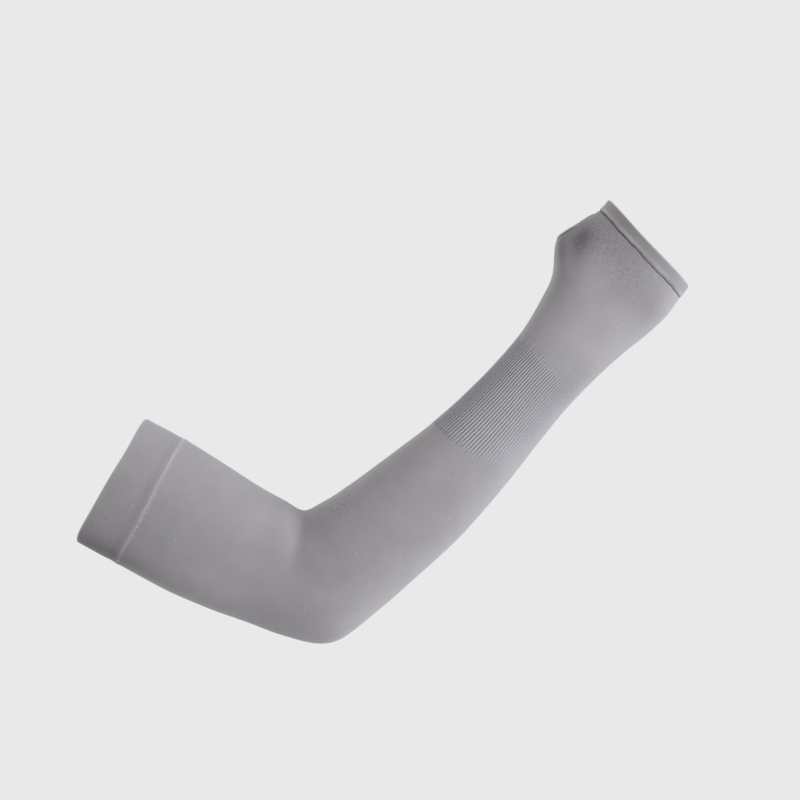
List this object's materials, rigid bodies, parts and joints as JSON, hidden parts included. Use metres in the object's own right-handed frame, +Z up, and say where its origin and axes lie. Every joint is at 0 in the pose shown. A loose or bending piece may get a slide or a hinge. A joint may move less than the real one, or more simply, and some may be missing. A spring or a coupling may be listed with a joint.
{
  "type": "sun protection arm sleeve",
  "caption": "Seamless knitted arm sleeve in its worn, bent form: doubled upper cuff with a linked seam, ribbed wrist, hand end with thumb hole and turned hem.",
  "frame": {"origin": "middle of the upper cuff's mouth, where the upper arm goes in", "axes": "X and Z span the plane of the elbow's bend, +X from the cuff towards the hand, +Z up as worn in the picture; -Y is the palm side"},
  "size_m": [0.3962, 0.0894, 0.2881],
  "materials": {
    "plain_knit": "fine plain nylon and elastane knit, matte with a soft sheen",
    "doubled_knit": "the same knit turned double, matte",
    "rib_knit": "fine raised ribs along the arm, matte with a soft sheen",
    "seam_yarn": "linked and overlocked yarn, matte"
  },
  "bodies": {
    "root": {"upper_cuff": "doubled_knit", "cuff_seam": "seam_yarn", "arm_tube": "plain_knit", "wrist_rib": "rib_knit", "hand_mitt": "plain_knit", "hand_hem": "doubled_knit", "thumb_edge": "seam_yarn"}
  },
  "joints": []
}
